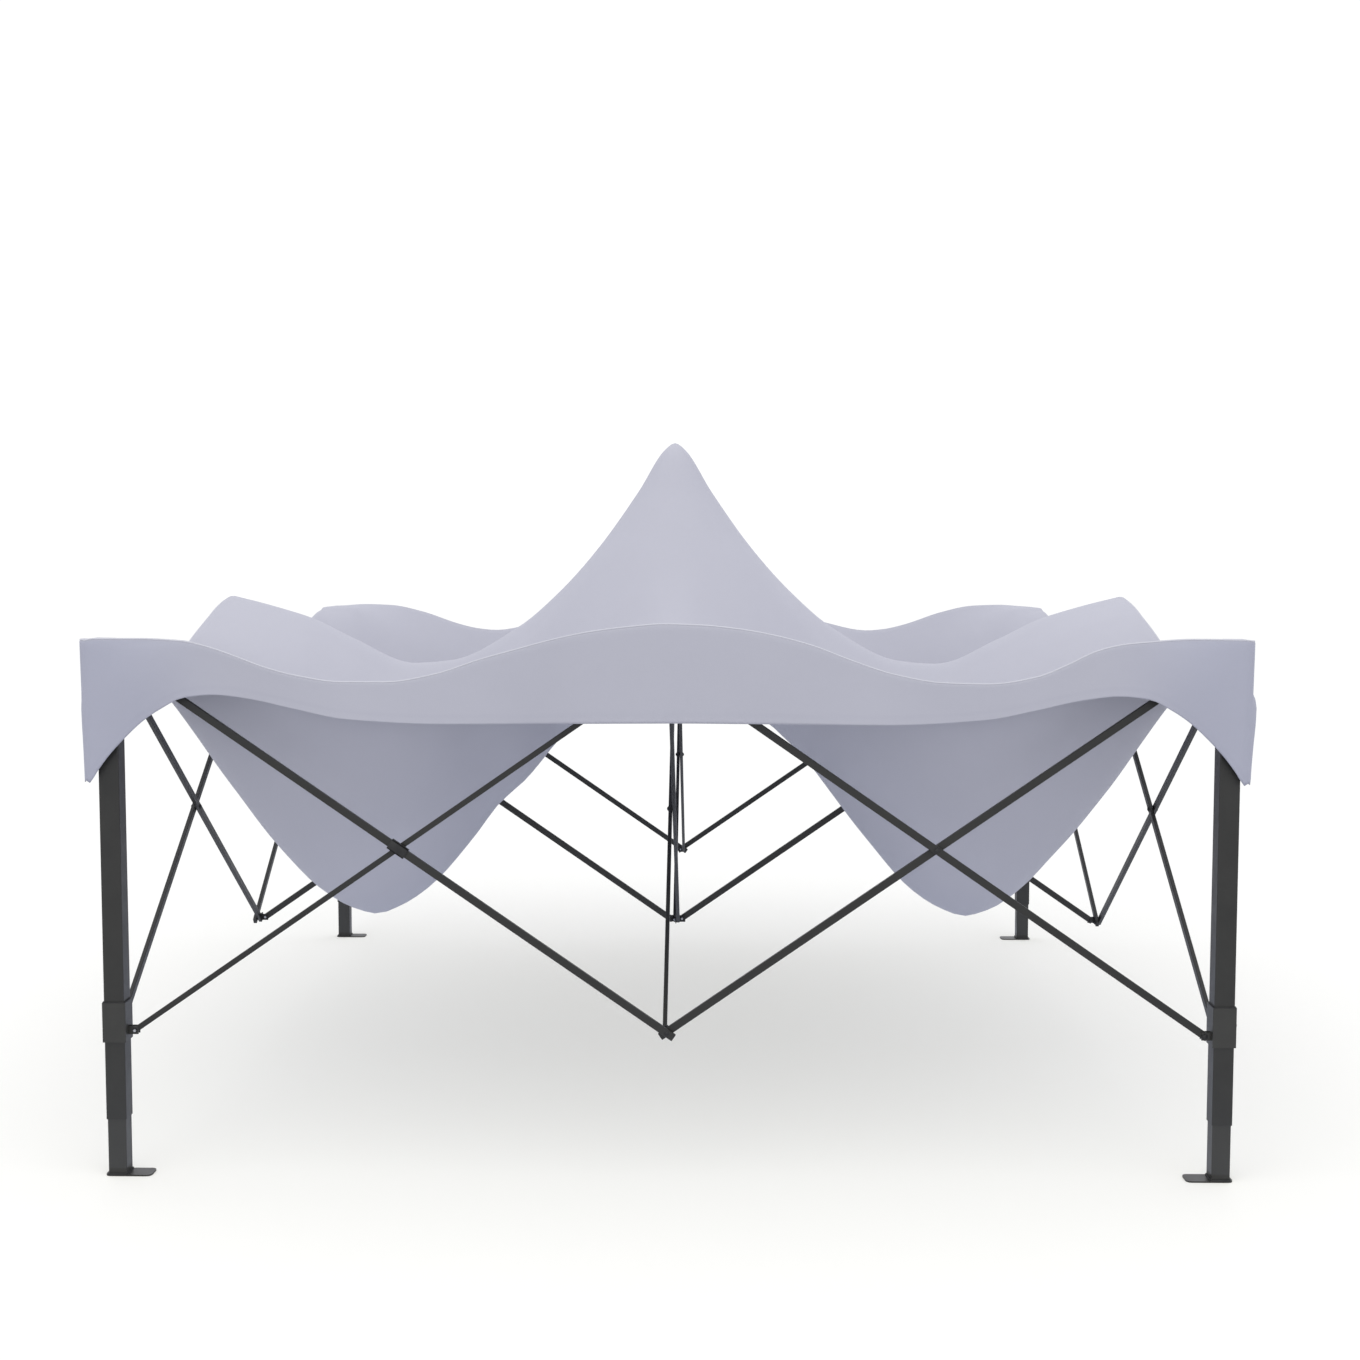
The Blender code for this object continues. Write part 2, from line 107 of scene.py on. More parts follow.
SIDE_EDGE_BACK = SIDE_MIDDLE + SIDE_TROUGH + TO_BACK_CORNER
SIDE_EDGE_LEFT = SIDE_MIDDLE + SIDE_TROUGH + TO_FRONT_CORNER
SIDE_EDGE_RIGHT = SIDE_MIDDLE_RIGHT + SIDE_TROUGH + TO_FRONT_CORNER
BACK_EDGE = (
    (0.000, 1.528), (0.200, 1.514), (0.400, 1.476), (0.620, 1.420), (0.830, 1.379), (0.910, 1.386),
    (1.000, 1.407), (1.160, 1.461), (1.300, 1.490), (1.420, 1.494), (1.500, 1.489), (CANOPY_HALF, 1.482),
)
FRONT_LEFT_EDGE = (
    (0.000, 1.534), (0.100, 1.526), (0.200, 1.513), (0.300, 1.492), (0.400, 1.465), (0.500, 1.437),
    (0.620, 1.398), (0.750, 1.377), (0.875, 1.377), (1.000, 1.395), (1.080, 1.416), (1.160, 1.446),
    (1.230, 1.470), (1.300, 1.486), (1.420, 1.492), (CANOPY_HALF, 1.492),
)
FRONT_RIGHT_EDGE = (
    (0.000, 1.534), (0.100, 1.531), (0.200, 1.521), (0.300, 1.503), (0.400, 1.476), (0.500, 1.438),
    (0.620, 1.399), (0.750, 1.377), (0.875, 1.374), (1.000, 1.393), (1.080, 1.425), (1.160, 1.463),
    (1.230, 1.480), (1.300, 1.487), (1.420, 1.494), (CANOPY_HALF, 1.492),
)
VALANCE = (
    (0.000, 1.265), (0.600, 1.261), (0.860, 1.274), (1.000, 1.301), (1.130, 1.329), (1.220, 1.339),
    (1.300, 1.331), (1.360, 1.302), (1.410, 1.269), (1.460, 1.225), (1.510, 1.174), (1.545, 1.129),
    (1.568, 1.098), (CANOPY_HALF, 1.104),
)

# ---- Pockets: shares of the full depth over the distance from the middle
POCKET_OUTER = (
    (0.600, 0.475), (0.750, 0.80), (0.850, 0.965), (0.920, 1.035), (0.980, 1.04), (1.060, 1.02),
    (1.180, 0.905), (1.300, 0.69), (1.480, 0.23), (CANOPY_HALF, 0.00),
)
POCKET_ACROSS_RIGHT = (
    (0.000, 0.00), (0.200, -0.02), (0.300, -0.025), (0.360, 0.03), (0.410, 0.09),
) + POCKET_OUTER
POCKET_ACROSS_LEFT = (
    (0.000, 0.00), (0.200, -0.02), (0.300, -0.025), (0.360, 0.05), (0.410, 0.145), (0.450, 0.215),
    (0.490, 0.262), (0.540, 0.33),
) + POCKET_OUTER
POCKET_ALONG = (
    (0.000, 0.00), (0.230, 0.03), (0.410, 0.09), (0.600, 0.48), (0.750, 0.81), (0.900, 1.00),
    (1.060, 1.00), (1.300, 0.69), (1.480, 0.23), (CANOPY_HALF, 0.00),
)
POCKET_DEPTH = 0.460
POCKET_SHIFT = 0.006
POCKET_SHIFT_SPAN = (0.7, 1.0)
LEG_HOLD = 0.160
CONE_SPAN = (0.25, 0.75)

# ---- The sheet's plan, grid and thickness
SHEET_SHIFT = -0.006
SHEET_STRETCH = 1.0032
EDGE_ROUND = 0.009
CORNER_ROUND = 0.020
GRID_HALF = 72
GRID_CLUSTER = 0.45
ROUND_ROWS = 4
VALANCE_ROWS = 22
VALANCE_CROWDING = 1.15
FABRIC = 0.0011
HEM_DEPTH = 0.022
HEM_SEAM = 0.006
# Span along a side over which the painted corner shade comes in.
CORNER_SHADE_SPAN = (1.12, 1.50)
PIPING_ROW = 2
PIPING_RADIUS = 0.0023
PIPING_SIDES = 8

# ---- How the cloth leaves its plan: depths, and the span over which each comes or goes
BOW = 0.008
BOW_SPAN = (0.0, 1.35)
BOW_INWARD = (0.8, 1.0)
BILLOW = 0.010
BILLOW_POWER = 0.75
BILLOW_RISE = (1.24, 1.42)
BILLOW_FALL = (1.44, CANOPY_HALF)
RIPPLE = 0.0025
RIPPLE_WAVES = ((1.0, 9.1, 0.7), (0.6, 17.3, 2.1), (0.35, 31.0, 4.4))
RIPPLE_FALL = (1.15, CANOPY_HALF)
TIP_TUCK = 0.005
TUCK_IN_SPAN = (1.25, CANOPY_HALF)
TUCK_ASIDE_SPAN = (1.38, CANOPY_HALF)
FOLD_PLACE = 1.530
FOLD_WIDTH = 0.045
FOLD_LEFT = 0.008
FOLD_RIGHT = 0.0165
FOLD_END = (1.545, CANOPY_HALF)
FOLD_START = (0.34, 0.50)
FOLD_EASE = 0.45
FOLD_EASE_SPAN = (0.58, 1.0)
WRINKLE_START = (0.10, 0.40)
WRINKLE_END = (1.35, 1.55)
PLEATS = 14
PLEAT_HEIGHT = 0.0016
PLEAT_FALL = (0.35, 1.0)
SWELL_HEIGHT = 0.0014

# ---- How the cloth sits on the legs' caps
CAP_AREA = 0.8
CAP_HALF = 0.032
CAP_CLEARANCE = 0.0006
CAP_FLANK = (0.006, 0.075)
CAP_BUMP = 0.003
CAP_BUMP_EDGE = (-0.006, 0.010)
DROOP_REACH = 0.034
DROOP_FRONT = 0.011
DROOP_BACK = 0.008

UP = Vector((0, 0, 1))
SIDES = {
    "front": Vector((0, -1, 0)),
    "right": Vector((1, 0, 0)),
    "back": Vector((0, 1, 0)),
    "left": Vector((-1, 0, 0)),
}


def corner_name(point):
    return ("front" if point.y < 0 else "back") + "_" + ("left" if point.x < 0 else "right")


def bays():
    """Each side's two bays: side name, outward direction, direction from the middle to the leg."""
    for side, outward in SIDES.items():
        tangent = UP.cross(outward)
        yield side, outward, tangent
        yield side, outward, -tangent


def legs():
    for x in (-1, 1):
        for y in (-1, 1):
            point = Vector((x * LEG_CENTRE, y * LEG_CENTRE, 0))
            yield corner_name(point), point


CAP_TOP = {corner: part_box(f"leg_cap_{corner}")[1][2] for corner, _ in legs()}


def clamped(value):
    return min(max(value, 0.0), 1.0)


def smooth(low, high, value):
    t = clamped((value - low) / (high - low))
    return t * t * (3 - 2 * t)


def knot_slope(knots, index):
    """Slope of the curve at a knot, level at the start and at each crest or trough."""
    if index == 0:
        return 0.0
    (x0, y0), (x1, y1) = knots[index - 1], knots[index]
    before = (y1 - y0) / (x1 - x0)
    if index == len(knots) - 1:
        return before
    x2, y2 = knots[index + 1]
    after = (y2 - y1) / (x2 - x1)
    if before * after <= 0:
        return 0.0
    return 2 * before * after / (before + after)


def curve_height(knots, distance):
    """Height of a smooth curve through the knots, with no bump between them."""
    distance = min(max(distance, knots[0][0]), knots[-1][0])
    index = 0
    while index < len(knots) - 2 and distance > knots[index + 1][0]:
        index += 1
    (x0, y0), (x1, y1) = knots[index], knots[index + 1]
    width = x1 - x0
    t = (distance - x0) / width
    slope0 = knot_slope(knots, index) * width
    slope1 = knot_slope(knots, index + 1) * width
    rise = y1 - y0
    return y0 + t * (slope0 + t * (3 * rise - 2 * slope0 - slope1 + t * (slope0 + slope1 - 2 * rise)))


def canopy_height(x, y):
    """Top of the fabric: a round cone at the peak, ridges, edges, and the pocket in each quarter."""
    aside = abs(x) - POCKET_SHIFT * smooth(*POCKET_SHIFT_SPAN, x)
    across_pocket = POCKET_ACROSS_LEFT if x < 0 else POCKET_ACROSS_RIGHT
    if y >= 0:
        ridge, edge, side = RIDGE_TO_BACK, BACK_EDGE, SIDE_EDGE_BACK
    elif x < 0:
        ridge, edge, side = RIDGE_TO_FRONT, FRONT_LEFT_EDGE, SIDE_EDGE_LEFT
    else:
        ridge, edge, side = RIDGE_TO_FRONT, FRONT_RIGHT_EDGE, SIDE_EDGE_RIGHT
    x = abs(x)
    y = abs(y)
    u = x / CANOPY_HALF
    v = y / CANOPY_HALF
    across = (1 - u) * curve_height(ridge, y) + u * curve_height(side, y)
    along = (1 - v) * curve_height(RIDGE_TO_SIDES, x) + v * curve_height(edge, x)
    near = (1 - v) * ((1 - u) * PEAK[0][1] + u * side[0][1])
    far = v * ((1 - u) * edge[0][1] + u * edge[-1][1])
    share = curve_height(across_pocket, aside) * curve_height(POCKET_ALONG, y)
    from_leg = math.hypot(x - LEG_CENTRE, y - LEG_CENTRE)
    held = math.exp(-((from_leg / LEG_HOLD) ** 2))
    spanned = across + along - near - far - POCKET_DEPTH * share * (1 - held)
    from_peak = math.hypot(x, y)
    cone = 1 - smooth(*CONE_SPAN, from_peak)
    return spanned + cone * (curve_height(PEAK, from_peak) - spanned)


# ---- Materials
def material(name, **values):
    """A new material, with some of its shader's uniform inputs set."""
    made = bpy.data.materials.new(name)
    made.use_nodes = True
    shader = made.node_tree.nodes["Principled BSDF"]
    for key, value in values.items():
        shader.inputs[key].default_value = value
    return made, made.node_tree, shader


def add(tree, kind, **values):
    node = tree.nodes.new(kind)
    for key, value in values.items():
        setattr(node, key, value)
    return node


def noise(tree, vector, scale, detail, roughness=0.5):
    node = add(tree, "ShaderNodeTexNoise")
    node.inputs["Scale"].default_value = scale
    node.inputs["Detail"].default_value = detail
    node.inputs["Roughness"].default_value = roughness
    tree.links.new(vector, node.inputs["Vector"])
    return node.outputs["Fac"]


def ramp(tree, value, low, dark, high, light):
    """Colours from dark at the value low to light at the value high."""
    node = add(tree, "ShaderNodeValToRGB")
    for element, position, colour in zip(node.color_ramp.elements, (low, high), (dark, light)):
        element.position = position
        element.color = (*colour, 1)
    tree.links.new(value, node.inputs["Fac"])
    return node.outputs["Color"]


def math_node(tree, operation, first, second):
    node = add(tree, "ShaderNodeMath", operation=operation)
    for socket, value in zip(node.inputs, (first, second)):
        if isinstance(value, (int, float)):
            socket.default_value = value
        else:
            tree.links.new(value, socket)
    return node.outputs["Value"]


def mixture(tree, first, second, share):
    """First and second mixed, with this share of the first."""
    return math_node(
        tree, "ADD", math_node(tree, "MULTIPLY", first, share), math_node(tree, "MULTIPLY", second, 1 - share)
    )


def multiplied(tree, first, second):
    node = add(tree, "ShaderNodeMix", data_type="RGBA", blend_type="MULTIPLY")
    node.inputs["Factor"].default_value = 1.0
    tree.links.new(first, node.inputs["A"])
    tree.links.new(second, node.inputs["B"])
    return node.outputs["Result"]


def bump(tree, height, distance, strength, below=None):
    node = add(tree, "ShaderNodeBump")
    node.inputs["Strength"].default_value = strength
    node.inputs["Distance"].default_value = distance
    tree.links.new(height, node.inputs["Height"])
    if below is not None:
        tree.links.new(below, node.inputs["Normal"])
    return node.outputs["Normal"]


NOISE_LOW, NOISE_HIGH = 0.3, 0.7


def roughness_from(tree, shader, value, smoothest, roughest):
    """Lets a noise vary the shader's roughness between these two."""
    node = add(tree, "ShaderNodeMapRange")
    node.inputs["From Min"].default_value = NOISE_LOW
    node.inputs["From Max"].default_value = NOISE_HIGH
    node.inputs["To Min"].default_value = smoothest
    node.inputs["To Max"].default_value = roughest
    tree.links.new(value, node.inputs["Value"])
    tree.links.new(node.outputs["Result"], shader.inputs["Roughness"])


def coordinates(tree, output="Object"):
    """Object coordinates, or another output such as the cloth's own UV."""
    return add(tree, "ShaderNodeTexCoord").outputs[output]


def attribute(tree, name):
    return add(tree, "ShaderNodeAttribute", attribute_name=name).outputs["Fac"]


CLOTH_DARK = (0.460, 0.464, 0.530)
CLOTH_LIGHT = (0.488, 0.492, 0.560)
# Lighter cloth for the piping along the rolled edge: a painted highlight on its crest.
PIPING_HIGHLIGHT_DARK = (0.530, 0.535, 0.590)
PIPING_HIGHLIGHT_LIGHT = (0.570, 0.575, 0.630)
LEG_DARK = (0.0182, 0.0181, 0.0162)
LEG_LIGHT = (0.0262, 0.0261, 0.0231)
# A lighter copy of the legs' powder coat for the inner legs and sliders: painted light, making up for the
# dimmer light low down.
LOW_PARTS_BRIGHTENED_DARK = (0.028, 0.0278, 0.0250)
LOW_PARTS_BRIGHTENED_LIGHT = (0.037, 0.0368, 0.0325)
BAR_DARK = (0.0150, 0.0150, 0.0135)
BAR_LIGHT = (0.0222, 0.0222, 0.0196)
PLASTIC_DARK = (0.012, 0.012, 0.013)
PLASTIC_LIGHT = (0.020, 0.020, 0.021)
BLACKENED_DARK = (0.010, 0.010, 0.011)
BLACKENED_LIGHT = (0.022, 0.022, 0.022)
ZINC_DARK = (0.42, 0.43, 0.45)
ZINC_LIGHT = (0.62, 0.63, 0.65)
UNCHANGED = (1, 1, 1)
HEM_SHADE = (0.98, 0.98, 0.985)
# Painted shade: the cloth darker and bluer towards the corners.
CORNER_PAINTED_SHADE = (0.88, 0.895, 0.94)
THREADS = 210.0


def canopy_cloth(name, dark, light):
    """Coated polyester: a fine plain weave, soft creases, a stitched hem, and painted shade that darkens the
    cloth towards the corners.
    """
    made, tree, shader = material(
        name, **{"Sheen Weight": 0.12, "Sheen Roughness": 0.45, "Specular IOR Level": 0.22}
    )
    place = coordinates(tree)
    cloth = coordinates(tree, "UV")
    cloud = noise(tree, place, scale=1.7, detail=4.0, roughness=0.55)
    grain = noise(tree, place, scale=160.0, detail=2.0, roughness=0.6)
    colour = ramp(tree, mixture(tree, cloud, grain, share=0.75), 0.30, dark, 0.70, light)
    hem = attribute(tree, "hem")
    stitched = ramp(tree, hem, 0.0, UNCHANGED, 0.5, HEM_SHADE)
    # Painted shade: darker, bluer cloth towards each corner.
    shaded_corners = ramp(tree, attribute(tree, "corner_shade"), 0.0, UNCHANGED, 1.0, CORNER_PAINTED_SHADE)
    colour = multiplied(tree, multiplied(tree, colour, stitched), shaded_corners)
    tree.links.new(colour, shader.inputs["Base Color"])
    warp = add(tree, "ShaderNodeTexWave", bands_direction="X")
    weft = add(tree, "ShaderNodeTexWave", bands_direction="Y")
    for wave in (warp, weft):
        wave.inputs["Scale"].default_value = THREADS
        wave.inputs["Distortion"].default_value = 0.6
        wave.inputs["Detail"].default_value = 1.0
        tree.links.new(cloth, wave.inputs["Vector"])
    weave = math_node(tree, "MAXIMUM", warp.outputs["Fac"], weft.outputs["Fac"])
    creases = noise(tree, place, scale=5.5, detail=3.0, roughness=0.45)
    fine = noise(tree, place, scale=38.0, detail=3.0)
    normal = bump(tree, creases, distance=0.006, strength=0.35)
    normal = bump(tree, fine, distance=0.0008, strength=0.4, below=normal)
    normal = bump(tree, weave, distance=0.00025, strength=0.5, below=normal)
    normal = bump(tree, hem, distance=0.0003, strength=0.4, below=normal)
    tree.links.new(normal, shader.inputs["Normal"])
    roughness_from(tree, shader, grain, smoothest=0.70, roughest=0.86)
    return made


def powder_coat(name, dark, light):
    """Satin dark grey powder coat: orange-peel bump, faint dust and patchy sheen."""
    made, tree, shader = material(name)
    place = coordinates(tree)
    patches = noise(tree, place, scale=9.0, detail=4.0, roughness=0.6)
    specks = noise(tree, place, scale=700.0, detail=2.0, roughness=0.7)
    colour = ramp(tree, mixture(tree, patches, specks, share=0.7), 0.32, dark, 0.68, light)
    tree.links.new(colour, shader.inputs["Base Color"])
    roughness_from(tree, shader, patches, smoothest=0.34, roughest=0.46)
    peel = noise(tree, place, scale=420.0, detail=2.0)
    tree.links.new(bump(tree, peel, distance=0.00035, strength=0.35), shader.inputs["Normal"])
    return made


def moulded_plastic(name, dark, light):
    """Matte moulded nylon with a fine spark-eroded texture, which also passes for blackened steel."""
    made, tree, shader = material(name)
    place = coordinates(tree)
    grain = noise(tree, place, scale=900.0, detail=2.0, roughness=0.6)
    flow = noise(tree, place, scale=24.0, detail=3.0)
    tree.links.new(ramp(tree, flow, 0.35, dark, 0.65, light), shader.inputs["Base Color"])
    roughness_from(tree, shader, grain, smoothest=0.52, roughest=0.68)
    tree.links.new(bump(tree, grain, distance=0.0002, strength=0.4), shader.inputs["Normal"])
    return made


def zinc_steel(name):
    """Zinc-plated fastener steel with fine turning marks."""
    made, tree, shader = material(name, Metallic=1.0)
    place = coordinates(tree)
    patches = noise(tree, place, scale=60.0, detail=3.0, roughness=0.6)
    marks = noise(tree, place, scale=1500.0, detail=1.0)
    tree.links.new(ramp(tree, patches, 0.35, ZINC_DARK, 0.65, ZINC_LIGHT), shader.inputs["Base Color"])
    roughness_from(tree, shader, patches, smoothest=0.26, roughest=0.42)
    tree.links.new(bump(tree, marks, distance=0.0001, strength=0.3), shader.inputs["Normal"])
    return made


CLOTH = canopy_cloth("canopy_cloth", CLOTH_DARK, CLOTH_LIGHT)
# The piping's cloth, lighter than the sheet: a painted highlight.
PIPING_HIGHLIGHT_CLOTH = canopy_cloth("canopy_piping_painted_highlight", PIPING_HIGHLIGHT_DARK, PIPING_HIGHLIGHT_LIGHT)
LEG_PAINT = powder_coat("leg_powder_coat", LEG_DARK, LEG_LIGHT)
# Painted light: the legs' powder coat made lighter for the lower parts.
LOW_PARTS_BRIGHTENED_PAINT = powder_coat("low_parts_powder_coat_painted_light", LOW_PARTS_BRIGHTENED_DARK, LOW_PARTS_BRIGHTENED_LIGHT)
BAR_PAINT = powder_coat("bar_powder_coat", BAR_DARK, BAR_LIGHT)
PLASTIC = moulded_plastic("moulded_plastic", PLASTIC_DARK, PLASTIC_LIGHT)
ZINC = zinc_steel("zinc_steel")
BLACKENED = moulded_plastic("blackened_steel", BLACKENED_DARK, BLACKENED_LIGHT)


def finish_of(name):
    # Inner legs and sliders take the lighter copy of the powder coat: painted light low down.
    if name.startswith(("inner_leg", "slider")):
        return LOW_PARTS_BRIGHTENED_PAINT
    if name.startswith(("mast_cap", "leg_cap")) or "_hub" in name or name.endswith("_joint"):
        return PLASTIC
    return BAR_PAINT if "_bar_" in name else LEG_PAINT


def dress_frame():
    for name, obj in frame["nodes"].items():
        obj.data.materials.clear()
        obj.data.materials.append(finish_of(name))


# ---- Meshes
def new_piece(bm, name, finish, body):
    mesh = bpy.data.meshes.new(name)
    bm.to_mesh(mesh)
    bm.free()
    obj = bpy.data.objects.new(name, mesh)
    bpy.context.scene.collection.objects.link(obj)
    mesh.materials.append(finish)
    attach(obj, body)
    return obj


def hard_piece(bm, name, finish, body, sharp=35):
    """A piece whose edges stay crisp where its faces meet at more than an angle in degrees."""
    obj = new_piece(bm, name, finish, body)
    obj.data.shade_smooth()
    obj.data.set_sharp_from_angle(angle=math.radians(sharp))
    return obj


def axes_at(origin, along, across):
    """A frame at origin with X along, Y across and Z square to both."""
    matrix = Matrix((along, across, along.cross(across))).transposed().to_4x4()
    matrix.translation = origin
    return matrix


def round_ring(bm, centre, across, third, radius, sides):
    """Adds a ring of vertices around centre."""
    angles = [2 * math.pi * k / sides for k in range(sides)]
    return [
        bm.verts.new(centre + across * (radius * math.cos(angle)) + third * (radius * math.sin(angle)))
        for angle in angles
    ]


def join_rings(bm, low, high):
    """Adds the faces between two rings of as many vertices each."""
    count = len(low)
    faces = []
    for k in range(count):
        n = (k + 1) % count
        faces.append(bm.faces.new((low[k], low[n], high[n], high[k])))
    return faces


def turned(bm, profile, origin, axis, sides):
    """Adds a turned shape: profile is (radius, height) from the seat outwards along axis."""
    other = UP if abs(axis.z) < 0.9 else Vector((1, 0, 0))
    across = other.cross(axis).normalized()
    third = axis.cross(across)
    rings = []
    for radius, height in profile:
        centre = origin + axis * height
        if radius == 0:
            rings.append([bm.verts.new(centre)])
        else:
            rings.append(round_ring(bm, centre, across, third, radius, sides))
    for low, high in zip(rings, rings[1:]):
        if len(low) == len(high):
            join_rings(bm, low, high)
            continue
        for k in range(sides):
            n = (k + 1) % sides
            if len(low) == 1:
                bm.faces.new((low[0], high[n], high[k]))
            else:
                bm.faces.new((low[k], low[n], high[0]))


def soft_box(bm, matrix, low, high, radius):
    """Adds a box with rounded edges, given in the frame of matrix."""
    part = bmesh.new()
    low = Vector(low)
    size = Vector(high) - low
    bmesh.ops.create_cube(part, size=1)
    bmesh.ops.scale(part, vec=size, verts=part.verts)
    bmesh.ops.translate(part, vec=low + size / 2, verts=part.verts)
    bmesh.ops.bevel(part, geom=part.edges[:], offset=radius, segments=2, profile=0.5, affect="EDGES")
    part.transform(matrix)
    mesh = bpy.data.meshes.new("part")
    part.to_mesh(mesh)
    part.free()
    bm.from_mesh(mesh)
    bpy.data.meshes.remove(mesh)


# ---- Canopy
def grid_line(t):
    """Place of a grid line, from -1 to 1, closer together at the middle and at the edge."""
    size = abs(t)
    distance = size - GRID_CLUSTER * math.sin(2 * math.pi * size) / (2 * math.pi)
    return math.copysign(distance, t)


def plan_point(a, b):
    """Plan of the grid point (a, b), both from -1 to 1, on a square with rounded corners."""
    half = CANOPY_HALF - EDGE_ROUND
    x = abs(a) * half
    y = abs(b) * half
    start = half - CORNER_ROUND
    if x > start and y > start:
        i = (x - start) / CORNER_ROUND
        j = (y - start) / CORNER_ROUND
        x = start + CORNER_ROUND * i * math.sqrt(1 - j * j / 2)
        y = start + CORNER_ROUND * j * math.sqrt(1 - i * i / 2)
    return math.copysign(x, a), math.copysign(y, b)


def outward_at(a, b):
    """Outward normal of the plan at a grid point on the border."""
    start = CANOPY_HALF - EDGE_ROUND - CORNER_ROUND
    half = CANOPY_HALF - EDGE_ROUND
    x = abs(a) * half
    y = abs(b) * half
    if x > start and y > start:
        px, py = plan_point(abs(a), abs(b))
        normal = Vector((px - start, py - start, 0)).normalized()
    elif x > y:
        normal = Vector((1, 0, 0))
    else:
        normal = Vector((0, 1, 0))
    return Vector((math.copysign(normal.x, a), math.copysign(normal.y, b), 0))


def along_side(a, b):
    """Distance of a grid point on the border from the middle of its side."""
    return min(abs(a), abs(b)) * CANOPY_HALF


def bowed(along):
    """How far a side's edge stands out of the straight line between its corners."""
    return BOW * (1 - smooth(*BOW_SPAN, along))


def hanging(along, lap, drop):
    """Shift of a point of the valance out of its side and towards its corner; drop runs from 0 to 1."""
    swell = smooth(*BILLOW_RISE, along) * (1 - smooth(*BILLOW_FALL, along))
    wave = sum(size * math.sin(lap * pace + phase) for size, pace, phase in RIPPLE_WAVES)
    ripple = RIPPLE * wave * drop * (1 - smooth(*RIPPLE_FALL, along))
    out = BILLOW * math.sin(math.pi * drop ** BILLOW_POWER) * swell + ripple
    out -= TIP_TUCK * drop * smooth(*TUCK_IN_SPAN, along)
    aside = -TIP_TUCK * drop * smooth(*TUCK_ASIDE_SPAN, along)
    return out, aside


def flank_fold(a, b, drop):
    """The fold that stands out of the left and right valances just behind each corner."""
    along = abs(b) * CANOPY_HALF
    crest = math.exp(-(((along - FOLD_PLACE) / FOLD_WIDTH) ** 2)) * (1 - smooth(*FOLD_END, along))
    fall = smooth(*FOLD_START, drop) * (1 - FOLD_EASE * smooth(*FOLD_EASE_SPAN, drop))
    return (FOLD_RIGHT if a > 0 else FOLD_LEFT) * crest * fall


def valance_shift(a, b, lap, drop):
    """Shift in the plan of the point of the valance below the grid point (a, b) of the border."""
    out, aside = hanging(along_side(a, b), lap, drop)
    x, y = (out + flank_fold(a, b, drop), aside) if abs(a) > abs(b) else (aside, out)
    return Vector((math.copysign(1, a) * x, math.copysign(1, b) * y, 0))


def wrinkle(x, y):
    """Shallow unevenness of the drawn cloth, nothing at the peak and the edges."""
    r = math.hypot(x, y)
    free = smooth(*WRINKLE_START, r) * (1 - smooth(*WRINKLE_END, max(abs(x), abs(y))))
    angle = math.atan2(y, x)
    radial = math.sin(angle * PLEATS + 1.3 * math.sin(r * 3.1)) * (1 - smooth(*PLEAT_FALL, r))
    slow = math.sin(x * 6.3 + 1.1) * math.sin(y * 5.7 + 0.4) + 0.5 * math.sin(x * 11.0 - y * 8.3 + 2.0)
    return free * (PLEAT_HEIGHT * radial + SWELL_HEIGHT * slow)


def on_cap(x, y, z):
    """Height of the cloth at a point of the plan, raised where a leg's cap holds it up."""
    centre = Vector((math.copysign(LEG_CENTRE, x), math.copysign(LEG_CENTRE, y), 0))
    beyond = max(abs(x - centre.x), abs(y - centre.y)) - CAP_HALF
    held = CAP_TOP[corner_name(centre)] + FABRIC + CAP_CLEARANCE
    lift = max(0.0, held - z) * (1 - smooth(*CAP_FLANK, beyond))
    z += lift + CAP_BUMP * (1 - smooth(*CAP_BUMP_EDGE, beyond))
    inward = clamped((CANOPY_HALF - min(abs(x), abs(y))) / DROOP_REACH)
    return z - (DROOP_FRONT if y < 0 else DROOP_BACK) * (1 - inward) ** 2


def roof_point(a, b):
    """Place in space of the grid point (a, b), and its plan on the flat cloth."""
    x, y = plan_point(a, b)
    z = canopy_height(a * CANOPY_HALF, b * CANOPY_HALF) + wrinkle(x, y)
    shift = outward_at(a, b) * bowed(along_side(a, b)) * smooth(*BOW_INWARD, max(abs(a), abs(b)))
    place = Vector((SHEET_SHIFT + SHEET_STRETCH * x + shift.x, y + shift.y, z))
    if min(abs(a), abs(b)) > CAP_AREA:
        place.z = on_cap(*place)
    return place, (x, y)


